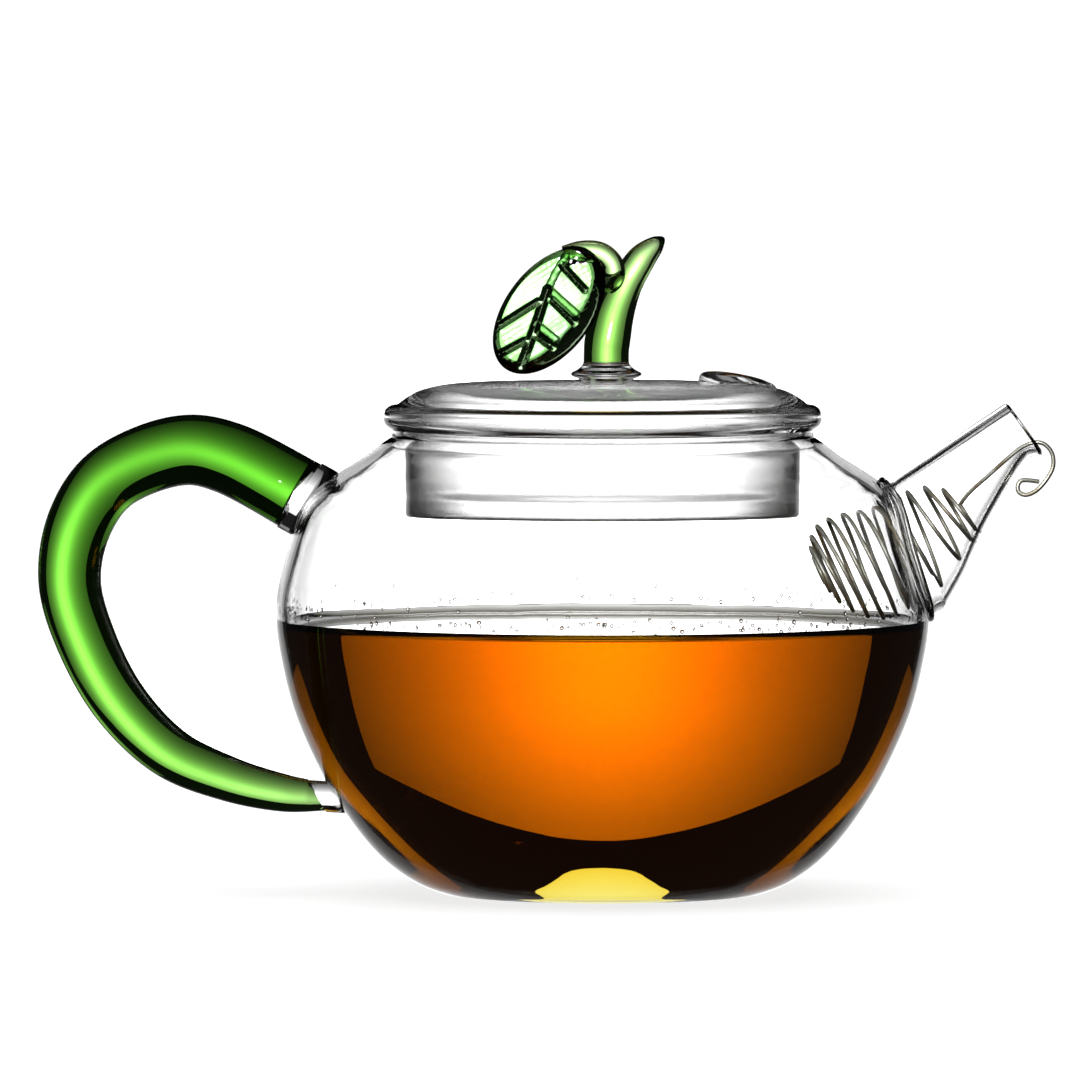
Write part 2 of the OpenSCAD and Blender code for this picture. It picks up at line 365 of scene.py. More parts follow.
@dataclass(frozen=True)
class Glass:
    """Melted glass with a fire-polished skin: no grain, only the slow waves that the flame leaves.

    Steam is the roughness that it adds where the mesh's steam attribute is 1.
    """

    name: str
    ior: float
    wave_mm: float
    wave_rise_mm: float
    smear: float
    tint: Tint | None = None
    steam: float = 0.0

    def make(self) -> bpy.types.Material:
        """Builds the material and returns it."""
        material, tree, output = new_material(self.name)
        place = add_node(tree, "TexCoord")
        waves = add_node(
            tree, "TexNoise", {"Scale": 1 / (self.wave_mm * MM), "Detail": 1.5, "Roughness": 0.4},
            {"Vector": place.outputs["Object"]},
        )
        bump = add_node(
            tree, "Bump", {"Strength": 1.0, "Distance": self.wave_rise_mm * MM},
            {"Height": waves.outputs["Fac"]},
        )
        smears = add_node(
            tree, "TexNoise", {"Scale": 1 / (6 * self.wave_mm * MM), "Detail": 3.0},
            {"Vector": place.outputs["Object"]},
        )
        rough = add_node(
            tree, "MapRange", {"From Min": 0.45, "From Max": 0.75, "To Min": 0.0, "To Max": self.smear},
            {"Value": smears.outputs["Fac"]},
        )
        dull = rough.outputs["Result"]
        if self.steam:
            wet = add_node(tree, "Attribute", {"attribute_name": STEAM})
            fog = add_node(tree, "Math", {"operation": "MULTIPLY_ADD"}, {0: wet.outputs["Fac"], 2: dull})
            fog.inputs[1].default_value = self.steam
            dull = fog.outputs[0]
        skin = add_node(
            tree, "BsdfPrincipled",
            {"Base Color": (1, 1, 1, 1), "IOR": self.ior, "Transmission Weight": 1.0},
            {"Normal": bump.outputs["Normal"], "Roughness": dull},
        )
        tree.links.new(skin.outputs[0], output.inputs["Surface"])
        if self.tint:
            self.tint.absorb(tree, output)
        return material


@dataclass(frozen=True)
class DrawnSteel:
    """Bright drawn stainless wire, dulled by tea: grey with brown stains."""

    name: str
    bright: str
    stained: str
    roughness: float
    stain_mm: float

    def make(self) -> bpy.types.Material:
        """Builds the material and returns it."""
        material, tree, output = new_material(self.name)
        place = add_node(tree, "TexCoord")
        stains = add_node(
            tree, "TexNoise", {"Scale": 1 / (self.stain_mm * MM), "Detail": 4.0},
            {"Vector": place.outputs["Object"]},
        )
        patches = add_node(
            tree, "MapRange", {"From Min": 0.42, "From Max": 0.66}, {"Value": stains.outputs["Fac"]}
        )
        colour = add_node(
            tree, "Mix", {"data_type": "RGBA"},
            {0: patches.outputs["Result"]},
        )
        colour.inputs[6].default_value = linear(self.bright)
        colour.inputs[7].default_value = linear(self.stained)
        rough = add_node(
            tree, "MapRange", {"To Min": self.roughness, "To Max": self.roughness + 0.2},
            {"Value": patches.outputs["Result"]},
        )
        skin = add_node(
            tree, "BsdfPrincipled", {"Metallic": 1.0},
            {"Base Color": colour.outputs[2], "Roughness": rough.outputs["Result"]},
        )
        tree.links.new(skin.outputs[0], output.inputs["Surface"])
        return material


# Borosilicate, worked in a flame: clear, very smooth, with faint waves that bend what is seen through it
CLEAR_GLASS = Glass("borosilicate_glass_blown", 1.47, 11, 0.05, 0.01)
# The same glass where steam has settled on its inner side: it blurs what is seen through it to soft greys
STEAMED_GLASS = Glass("borosilicate_glass_steamed", 1.47, 11, 0.05, 0.01, steam=0.16)
# Coloured borosilicate rod, bent in a flame: deep green, and almost black where it is seen edge on
GREEN_GLASS = Glass("green_borosilicate_rod", 1.5, 7, 0.05, 0.015, Tint("#4B8B26", 9))
# The same green pressed thin for the leaf, from a denser rod, so that it still looks green
LEAF_GLASS = Glass("green_borosilicate_pressed", 1.5, 5, 0.04, 0.01, Tint("#3A742C", 4))
# Stainless spring wire
STEEL_WIRE = DrawnSteel("stainless_spring_wire", "#C4C4B8", "#80745C", 0.42, 4)
# Black tea, 20 mm of which looks golden
TEA_LIQUOR = Glass("black_tea_liquor", 1.333, 30, 0.0, 0.0, Tint("#E7BF40", 20))


# ---------------------------------------------------------------- pot


@dataclass
class Bowl:
    """The blown bowl. Sizes in millimetres."""

    radius: float = 45
    rim_z: float = 63.7
    rim_r: float = 29.1
    wall: float = 1.7
    ring_in_r: float = 16
    ring_out_r: float = 21
    punt_h: float = 4.6
    bore_r: float = 8.55
    bore_z: float = 47.75
    bore_tilt: float = 21

    # Parts of the radius and of the rim's height
    SHAPE = (
        (0.5, 0.003), (0.585, 0.029), (0.68, 0.08), (0.771, 0.157), (0.861, 0.261), (0.942, 0.391),
        (0.987, 0.52), (1, 0.609), (0.989, 0.675), (0.96, 0.754), (0.924, 0.83), (0.878, 0.873),
        (0.811, 0.907), (0.731, 0.942), (0.676, 0.971),
    )

    def __post_init__(self) -> None:
        """Works out the outline once."""
        base = [
            (0, self.punt_h), (self.ring_in_r * 0.45, self.punt_h * 0.86),
            (self.ring_in_r * 0.8, self.punt_h * 0.4), (self.ring_in_r, 0.25),
            (self.ring_in_r + 1.2, 0), (self.ring_out_r - 0.6, 0),
        ]
        side = [(r * self.radius, z * self.rim_z) for r, z in self.SHAPE]
        lip = [(self.rim_r, self.rim_z - 1), (self.rim_r, self.rim_z - 0.5), (self.rim_r - 0.35, self.rim_z)]
        self.outside = smooth(base + side, 8) + lip
        self.side = [(z, r) for r, z in self.outside if r > self.ring_out_r]

    def inner(self, depth: float) -> list[Point]:
        """Moves the outline inwards and keeps its start on the axis.

        Args:
            depth: How far, square to the outside, in millimetres.

        Returns:
            The moved outline, from the axis to below the rim.
        """
        line = inset(self.outside[:-2], depth)
        return [(0, line[0][1])] + [(r, z) for r, z in line[1:] if r > 0]

    def radius_at(self, z: float) -> float:
        """Outer radius at a height, both in millimetres."""
        for (z0, r0), (z1, r1) in zip(self.side, self.side[1:]):
            if z0 <= z <= z1:
                return r0 + (r1 - r0) * (z - z0) / max(z1 - z0, 1e-9)
        return self.side[0][1] if z < self.side[0][0] else self.side[-1][1]

    def land(self, point: Vector, ahead: Vector, off: float) -> Vector:
        """Slides a point along a line until it is a set distance off the bowl.

        Args:
            point: The point in millimetres.
            ahead: The line's direction, away from the bowl.
            off: The distance outside the bowl's surface, square to it.

        Returns:
            The moved point.
        """
        for _ in range(20):
            reach = math.hypot(point.x, point.y)
            slope = (self.radius_at(point.z + 0.2) - self.radius_at(point.z - 0.2)) / 0.4
            gap = (reach - self.radius_at(point.z)) / math.hypot(1, slope) - off
            point = point - ahead * gap * 0.8
        return point

    def conform(
        self, bm: bmesh.types.BMesh, verts: Sequence[bmesh.types.BMVert], ahead: Vector, off: float
    ) -> None:
        """Lands the vertices of a ring on the bowl.

        Args:
            bm: The mesh they belong to.
            verts: The ring's vertices.
            ahead: The direction they slide in, away from the bowl.
            off: The distance outside the bowl's surface.
        """
        for vert in verts:
            vert.co = self.land(vert.co / MM, ahead, off) * MM
        bm.normal_update()

    def build(self) -> bpy.types.Object:
        """Blows the bowl, bores it for the spout and returns it."""
        top = [(self.rim_r - self.wall + 0.35, self.rim_z), (self.rim_r - self.wall, self.rim_z - 0.5)]
        bowl = piece("blown_bowl", lathe(self.outside + top + self.inner(self.wall)[::-1], 240))
        root = Vector((self.radius_at(self.bore_z), 0, self.bore_z))
        line = [(*(root + along(self.bore_tilt) * k), self.bore_r) for k in (-6, 8)]
        combine(bowl, piece("bore", sweep(stations_along(line, Y_AXIS), 96)), Join.CUT)
        return bowl


@dataclass
class Spout:
    """The tapered tube and the bead that fuses it to the bowl. Sizes in millimetres."""

    bowl: Bowl
    root_d: float = 19.3
    mouth_d: float = 8.7
    wall: float = 1.0
    root_z: float = 47.75
    root_tilt: float = 21
    mouth_tilt: float = 36
    bead_r: float = 0.7

    # Points of the lower edge after the root: along X, along Z and the matching part of the upper edge
    LOW = ((0, 0, 0), (2.7, 4.8, 0.2), (5.6, 11.1, 0.45), (9.3, 17.5, 0.72), (11.7, 20.9, 0.89))

    def __post_init__(self) -> None:
        """Works out the two edges once."""
        self.root = Vector((self.bowl.radius_at(self.root_z) - 0.1, 0, self.root_z))
        mouth = self.root + Vector((14.65, 0, 16))
        self.top = (
            self.root + self.root_d / 2 * above(self.root_tilt),
            mouth + self.mouth_d / 2 * above(self.mouth_tilt),
        )
        low_root = self.root - self.root_d / 2 * above(self.root_tilt)
        low_mouth = mouth - self.mouth_d / 2 * above(self.mouth_tilt)
        marks = [(low_root.x + x, low_root.z + z, part) for x, z, part in self.LOW]
        self.low = smooth(marks + [(low_mouth.x, low_mouth.z, 1)], 10)

    def rings(self, thin: float) -> list[Matrix]:
        """Rings from root to mouth.

        Args:
            thin: How far inside the outer skin, in millimetres.

        Returns:
            One matrix for each ring.
        """
        made = []
        for x, z, part in self.low:
            low, top = Vector((x, 0, z)), self.top[0].lerp(self.top[1], part)
            up = (top - low).normalized()
            made.append(station((top + low) / 2, Vector((up.z, 0, -up.x)), up, (top - low).length / 2 - thin))
        return made

    def build(self) -> list[bpy.types.Object]:
        """Draws the tube and its bead and returns both."""
        sides = 96
        outer, inner = self.rings(0), self.rings(self.wall)
        lip = self.rings(self.wall / 2)[-1]
        lip = Matrix.Translation(along(self.mouth_tilt) * 0.3 * MM) @ lip
        bm = sweep(outer + [lip] + inner[::-1], sides, closed=True)
        bm.verts.ensure_lookup_table()
        ends = list(bm.verts[:sides]) + list(bm.verts[-sides:])
        self.bowl.conform(bm, ends, along(self.root_tilt), -0.05)
        tube = piece("spout_tube", bm)
        bead = piece("spout_seam", self.bead())
        return [tube, bead]

    def bead(self) -> bmesh.types.BMesh:
        """Lays the bead along the seam and returns its mesh."""
        turns, path = 96, []
        for i in range(turns):
            angle = math.tau * i / turns
            out = math.cos(angle) * above(self.root_tilt) + math.sin(angle) * Y_AXIS
            edge = self.root + out * (self.root_d / 2 + 0.2)
            path.append(self.bowl.land(edge, along(self.root_tilt), 0))
        rings = [
            station(path[i], path[(i + 1) % turns] - path[i - 1], along(self.root_tilt), self.bead_r)
            for i in range(turns)
        ]
        return sweep(rings, 20, closed=True)


@dataclass
class Handle:
    """The bent rod and the two collars of clear glass that hold it. Sizes in millimetres."""

    bowl: Bowl
    thick: float = 10.3
    reach: float = 73.2
    top_z: float = 54.5
    low_z: float = 13.2
    sides: int = 64
    collar: float = 2.1
    collar_swell: float = 0.2
    collar_step: float = 0.7
    # How deep the rod's ends sink into the collars, and how far off them its next points lie
    sink: float = 0.03
    clear_of_collar: float = 1.5

    # Points of the centre line: part of the reach, height, part of the thickness
    SHAPE = (
        (0.7, 59.7, 0.97), (0.8, 60.7, 0.94), (0.918, 57.2, 0.91), (0.98, 51, 0.89), (1, 43, 0.85),
        (0.97, 34.8, 0.82), (0.908, 26.3, 0.77), (0.816, 19.4, 0.7), (0.706, 15.7, 0.61), (0.6, 13.7, 0.51),
    )

    def __post_init__(self) -> None:
        """Works out the centre line once."""
        upper = (-self.bowl.radius_at(self.top_z) - 0.8, 0, self.top_z, self.thick / 2)
        lower = (-self.bowl.radius_at(self.low_z) - 1.3, 0, self.low_z, self.thick * 0.19)
        middle = [(-part * self.reach, 0, z, width * self.thick / 2) for part, z, width in self.SHAPE]
        self.line = smooth([upper] + middle + [lower], 12)

    def rod(self, line: Sequence[Point]) -> bmesh.types.BMesh:
        """Draws the rod, with both end rings laid along the bowl's curve inside the collars.

        Args:
            line: The centre line from one end to the other.

        Returns:
            The closed mesh.
        """
        bm = sweep(stations_along(line, Y_AXIS), self.sides)
        bm.verts.ensure_lookup_table()
        first, last = list(bm.verts[: self.sides]), list(bm.verts[-self.sides :])
        for ring, end, beyond in ((first, line[0], line[1]), (last, line[-1], line[-2])):
            outward = (Vector(beyond[:3]) - Vector(end[:3])).normalized()
            self.bowl.conform(bm, ring, outward, self.collar - self.sink)
        return bm

    def weld(self, name: str, line: Sequence[Point]) -> bpy.types.Object:
        """Draws a collar at the start of a line and returns it.

        Args:
            name: The collar's name.
            line: The rod's centre line, from the end that the collar holds.
        """
        near, far = line[0], line[8]
        outward = (Vector(far[:3]) - Vector(near[:3])).normalized()
        radius = near[3] + self.collar_swell
        stretch = [(*(Vector(near[:3]) + outward * k * self.collar_step), radius) for k in range(4)]
        bm = sweep(stations_along(stretch, Y_AXIS), self.sides)
        bm.verts.ensure_lookup_table()
        for k, off in enumerate((-0.05, self.collar * 0.33, self.collar * 0.67, self.collar)):
            self.bowl.conform(bm, bm.verts[k * self.sides : (k + 1) * self.sides], outward, off)
        return piece(name, bm)

    def build(self) -> list[bpy.types.Object]:
        """Bends the rod and its collars and returns all three."""
        off = self.collar + self.clear_of_collar
        body = self.trim(self.trim(self.line, off)[::-1], off)[::-1]
        rod = self.rod([self.line[0]] + body + [self.line[-1]])
        collars = [self.weld("handle_top_collar", self.line), self.weld("handle_low_collar", self.line[::-1])]
        return [piece("handle_rod", rod)] + collars

    def trim(self, line: Sequence[Point], off: float) -> list[Point]:
        """Drops the points at the start of a line that lie too near the bowl.

        Args:
            line: The points.
            off: The least distance off the bowl.

        Returns:
            The rest of the line.
        """
        for i, (x, _, z, _) in enumerate(line):
            if abs(x) - self.bowl.radius_at(z) > off:
                return list(line[i:])
        return []


# ---------------------------------------------------------------- lid


@dataclass
class Lid:
    """The disc with its rolled edge, skirt and vent. Sizes in millimetres."""

    crown_z: float = 70.4
    rim_z: float = 63.7
    edge_r: float = 30.2
    skirt_r: float = 27.1
    skirt_z: float = 52.4
    wall: float = 1.8
    vent_r: float = 2.2
    vent_x: float = 18.6

    def build(self) -> bpy.types.Object:
        """Presses the lid, opens its vent and returns it."""
        crown, edge, skirt = self.crown_z, self.edge_r, self.skirt_r
        top = smooth(
            [(0, crown), (10, crown - 0.05), (18, crown - 0.25), (22, crown - 0.6), (25, crown - 1.3),
             (edge - 3.4, crown - 2.2), (edge - 2, crown - 3.2)],
            6,
        )
        rolled = smooth(
            [(edge - 2, crown - 3.2), (edge - 1.1, crown - 3.35), (edge - 0.3, crown - 3.95),
             (edge, crown - 4.9), (edge - 0.15, crown - 5.9), (edge - 0.9, self.rim_z + 0.05)],
            8,
        )
        under = smooth(
            [(skirt - self.wall, crown - 6.5), (skirt - self.wall - 0.3, crown - 4.9),
             (skirt - self.wall - 1.4, crown - 3.7), (skirt - self.wall - 3.3, crown - 3),
             (17, crown - self.wall - 0.55), (10, crown - self.wall - 0.2), (0, crown - self.wall)],
            6,
        )
        skirt_line = smooth(
            [(skirt, self.skirt_z + 0.9), (skirt - 0.25, self.skirt_z + 0.2),
             (skirt - self.wall / 2, self.skirt_z),
             (skirt - self.wall + 0.25, self.skirt_z + 0.2), (skirt - self.wall, self.skirt_z + 0.9)],
            4,
        )
        seat = [(skirt, self.rim_z + 0.05)]
        lid = piece("lid_glass", lathe(top + rolled[1:] + seat + skirt_line + under, 240))
        combine(lid, self.vent_lip(), Join.FUSE)
        hole = [(self.vent_x, 0, crown - 6, self.vent_r), (self.vent_x, 0, crown + 4, self.vent_r)]
        combine(lid, piece("vent", sweep(stations_along(hole, Y_AXIS), 64)), Join.CUT)
        self.steam_up(lid.data)
        return lid

    def steam_up(self, mesh: bpy.types.Mesh) -> None:
        """Marks the skirt and the underside as the places where steam settles.

        Args:
            mesh: The lid's mesh.
        """
        wet = mesh.attributes.new(STEAM, "FLOAT", "POINT")
        for vert, mark in zip(mesh.vertices, wet.data):
            reach, z = math.hypot(vert.co.x, vert.co.y) / MM, vert.co.z / MM
            roof = self.crown_z - 1.55 - max(0.0, reach - self.skirt_r + 2.1) * 1.2
            mark.value = 1.0 if z < roof and reach < self.skirt_r + 0.2 else 0.0

    def vent_lip(self) -> bpy.types.Object:
        """Draws the raised edge round the vent and returns it."""
        r = self.vent_r
        ring = smooth(
            [(r - 0.4, -0.8), (r + 0.8, -0.35), (r + 1.9, 0.2), (r + 2.6, 0.5), (r + 3.1, 0.25),
             (r + 3.3, -0.5)],
            5,
        )
        bm = lathe([(r - 0.4, -1.4)] + ring + [(r + 3.4, -1.4)], 96)
        turn = Matrix.Rotation(math.radians(8), 4, "X") @ Matrix.Rotation(math.radians(10), 4, "Y")
        place = Matrix.Translation(Vector((self.vent_x, 0, self.crown_z - 0.35)) * MM)
        bmesh.ops.transform(bm, matrix=place @ turn, verts=bm.verts)
        return piece("vent_lip", bm)


@dataclass
class Knob:
    """The clear foot, the green stem, the stalk and the leaf. Sizes in millimetres."""

    crown_z: float = 70.4
    foot_x: float = 0.5
    stem_r: float = 3.15
    foot_h: float = 2.6
    leaf_l: float = 20
    leaf_w: float = 11.9
    leaf_t: float = 3
    leaf_lean: float = 52
    rim_w: float = 1.0

    # Points of the stem: x, height above the foot and part of the foot's radius
    STEM = (
        (0.5, 0, 1), (0.52, 1.6, 1), (0.75, 3.3, 1), (1.45, 6.4, 0.92), (2.6, 9.4, 0.79), (3.7, 11.6, 0.71),
        (5.4, 14.2, 0.63), (7.2, 16, 0.42), (8.1, 16.8, 0.2), (8.4, 17.1, 0.05),
    )
    # Points of the stalk: x, y, height above the crown and radius
    STALK = (
        (-5.3, -3.2, 17.2, 1.4), (-2.9, -3, 17.7, 1.6), (-0.5, -2.6, 17.5, 1.65), (1.1, -2.2, 16.2, 1.65),
        (1.5, -2, 14.5, 1.6), (1, -1.8, 13.2, 1.4), (0.7, -1.6, 12.4, 0.9),
    )
    LEAF_AT = (-7.35, -3.4, 9.7)

    def build_foot(self) -> bpy.types.Object:
        """Spins the clear foot and returns it."""
        r = self.stem_r
        flare = smooth(
            [(r + 0.2, 0), (r + 0.8, 0.35), (r + 1.6, 0.75), (r + 1.6, 1.1), (r + 0.7, 1.6), (r + 0.1, 2.2),
             (r, self.foot_h + 0.05)],
            6,
        )
        bm = lathe([(0, -0.02)] + flare + [(0, self.foot_h + 0.05)], 96)
        bmesh.ops.translate(bm, vec=Vector((self.foot_x, 0, self.crown_z)) * MM, verts=bm.verts)
        return piece("knob_foot_glass", bm)

    def build_stem(self) -> bpy.types.Object:
        """Pulls the stem and returns it."""
        base = self.crown_z + self.foot_h
        line = smooth([(x, 0, base + z, part * self.stem_r) for x, z, part in self.STEM], 10)
        return piece("stem_glass", sweep(stations_along(line, Y_AXIS), 64))

    def build_stalk(self) -> bpy.types.Object:
        """Bends the stalk and returns it."""
        line = smooth([(x, y, self.crown_z + z, r) for x, y, z, r in self.STALK], 10)
        return piece("stalk_glass", sweep(stations_along(line, Y_AXIS), 40))

    def build_leaf(self) -> bpy.types.Object:
        """Presses the leaf and returns it."""
        bm = bmesh.new()
        bmesh.ops.create_icosphere(bm, subdivisions=7, radius=1)
        half, rim = self.leaf_t / 2, math.radians(30)
        centre = Vector(self.LEAF_AT) + Vector((0, 0, self.crown_z))
        for vert in bm.verts:
            flat = math.hypot(vert.co.x, vert.co.z)
            turn, rise = math.atan2(vert.co.z, vert.co.x), math.atan2(abs(vert.co.y), flat)
            wide = self.rim_w * (1.6 - math.sin(turn))
            if rise < rim:
                part, thick, cut = 1.0, half * (rise / rim) ** 0.8, wide * rise / rim
            else:
                part, thick, cut = (math.pi / 2 - rise) / (math.pi / 2 - rim), half, wide
            u = part * (self.leaf_l / 2 - cut) * math.cos(turn)
            v = part * (self.leaf_w / 2 - cut) * math.sin(turn)
            side = 1 if vert.co.y > 0 else -1
            if side < 0:
                thick -= self.pressed(u, v) * min(1.0, thick / half)
            flat_place = centre + along(self.leaf_lean) * u + above(self.leaf_lean) * v
            vert.co = (flat_place + Y_AXIS * side * thick) * MM
        bmesh.ops.recalc_face_normals(bm, faces=bm.faces)
        return piece("leaf_glass", bm)

    # Grooves and raised ribs, as lines from the midrib outwards in the leaf's own u, v millimetres
    MIDRIB = ((2.2, 2.0), (-1.9, 0.5), (-6.7, -1.1), (-8.4, -1.6))
    TOP_RIB = ((7.3, 2.8), (4.6, 2.5), (2.4, 2.0))
    VEINS = (
        ((0.1, 2.0), (-6.0, 4.2)), ((-5.2, 0.1), (-8.8, 1.7)), ((6.0, 2.4), (5.3, -2.1)),
        ((1.4, 0.6), (0.9, -3.6)), ((-3.7, -0.7), (-3.6, -3.4)),
    )
    RIBS = (((2.3, 1.5), (2.0, -3.2)), ((-2.5, 0.0), (-2.5, -3.1)))

    def pressed(self, u: float, v: float) -> float:
        """Depth of the pressed pattern.

        Args:
            u: Place along the leaf.
            v: Place across it.

        Returns:
            How far below the flat face the glass lies, in millimetres.
        """
        def off(lines: Sequence[Sequence[Point]]) -> float:
            """Distance to the nearest of some lines."""
            nearest = 99.0
            for line in lines:
                for (a, b), (c, d) in zip(line, line[1:]):
                    across, rise = c - a, d - b
                    t = max(0.0, min(1.0, ((u - a) * across + (v - b) * rise) / (across**2 + rise**2)))
                    nearest = min(nearest, math.hypot(u - a - t * across, v - b - t * rise))
            return nearest

        groove = 1.3 * max(0.0, 1 - off([self.MIDRIB]) / 0.75) + 1.05 * max(0.0, 1 - off(self.VEINS) / 0.6)
        raised = 0.4 * math.sqrt(max(0.0, 1 - (off((*self.RIBS, self.TOP_RIB)) / 0.55) ** 2))
        grain = 0.02 * math.sin(u * 5.1 + v * 2.3) * math.sin(v * 6.7 - u * 1.9)
        return 0.3 + min(groove, 1.3) - raised + grain


# ---------------------------------------------------------------- strainer and tea


@dataclass
class Strainer:
    """One spring wire: a basket of turns in the bowl and the spout, and a leg that hooks over the mouth."""

    wire_d: float = 0.6
    wire_sides: int = 10
    steps: int = 40

    # Stations of the coil: x, z, radius, turns so far and tilt
    COIL = (
        (29.9, 44, 0.8, 0, 26), (30.1, 44.1, 3.3, 1.75, 26), (31.1, 44.2, 5.4, 3, 26),
        (32.5, 44.5, 6.9, 4, 26), (34.3, 44.9, 7.9, 5, 25), (36.3, 45.4, 8.2, 6, 24), (38.3, 46, 7.9, 7, 23),
        (40.3, 46.7, 7.6, 8, 22), (42.4, 47.5, 7.3, 9, 22), (45.4, 50.2, 5.9, 10.25, 31),
        (47.5, 52, 4.7, 11.25, 36), (49.2, 52.4, 3.5, 12.25, 35), (49.1, 53.2, 3.1, 12.75, 36),
    )
    # Points of the leg and its hook: x, y and z
    LEG = (
        (50.4, 2.3, 54.9), (52.8, 1.3, 57.1), (55.1, 0.5, 59.2), (56.5, 0.2, 60.4), (57.9, 0, 61.4),
        (59.1, 0, 61.9), (60.4, 0, 61.8), (61.4, 0, 61), (61.9, 0, 59.8), (61.8, 0, 58.3), (60.9, 0, 56.7),
        (59.6, 0, 55.3), (58.2, 0, 54.7), (57.2, 0.1, 55.1), (57.1, 0.2, 56.1),
        (57.8, 0.4, 56.7), (60, 0.7, 56.5),
    )

    def path(self) -> list[Vector]:
        """Works out the wire's centre line in millimetres and returns its points."""
        marks = smooth(self.COIL, 12)
        last, points = marks[-1][3], []
        for k in range(int(self.steps * last) + 1):
            turns = k / self.steps
            i = max(j for j, mark in enumerate(marks[:-1]) if mark[3] <= turns + 1e-9)
            a, b = marks[i], marks[i + 1]
            t = (turns - a[3]) / (b[3] - a[3])
            x, z, radius, _, tilt = (p + (q - p) * t for p, q in zip(a, b))
            angle = math.tau * turns
            out = math.cos(angle) * above(tilt) - math.sin(angle) * Y_AXIS
            points.append(Vector((x, 0, z)) + radius * out)
        leg = smooth([tuple(points[-1])] + [(x, y, z) for x, y, z in self.LEG], 8)
        return points + [Vector(point) for point in leg[1:]]

    def build(self) -> bpy.types.Object:
        """Winds the wire and returns it."""
        line = [(*point, self.wire_d / 2) for point in self.path()]
        return piece("strainer_wire", sweep(stations_along(line, Y_AXIS), self.wire_sides))


@dataclass
class Tea:
    """The liquor in the bowl and the drops above it. Sizes in millimetres."""

    bowl: Bowl
    level: float = 36.6
    overlap: float = 0.1
    meniscus: float = 1.15
    drops: int = 260

    def build(self) -> bpy.types.Object:
        """Fills the bowl and returns the liquor."""
        brim = self.level + self.meniscus
        wet = [point for point in self.bowl.inner(self.bowl.wall - self.overlap) if point[1] < brim]
        reach = wet[-1][0] + 0.02
        away = [0, 0.3, 0.7, 1.2, 1.8, 2.6, 3.6, 5, 8, 14, 24, 36]
        top = [(reach - d, self.level + self.meniscus * math.exp(-d / 1.1)) for d in away] + [(0, self.level)]
        return piece("tea", lathe(wet + top, 240))

    def build_drops(self) -> bpy.types.Object:
        """Scatters drops on the wall just above the liquor and returns them."""
        chance, bm = random.Random(7), bmesh.new()
        for _ in range(self.drops):
            angle, z = chance.uniform(0, math.tau), self.level + 1.5 + abs(chance.gauss(0, 1.2))
            size = chance.uniform(0.12, 0.34)
            reach = self.bowl.radius_at(z) - self.bowl.wall + 0.03
            place = Matrix.Translation(Vector((reach * math.cos(angle), reach * math.sin(angle), z)) * MM)
            flat = Matrix.Rotation(angle, 4, "Z") @ Matrix.Diagonal((0.45, 1, 1, 1))
            bmesh.ops.create_icosphere(bm, subdivisions=2, radius=size * MM, matrix=place @ flat)
        return piece("condensation", bm)


# ---------------------------------------------------------------- studio


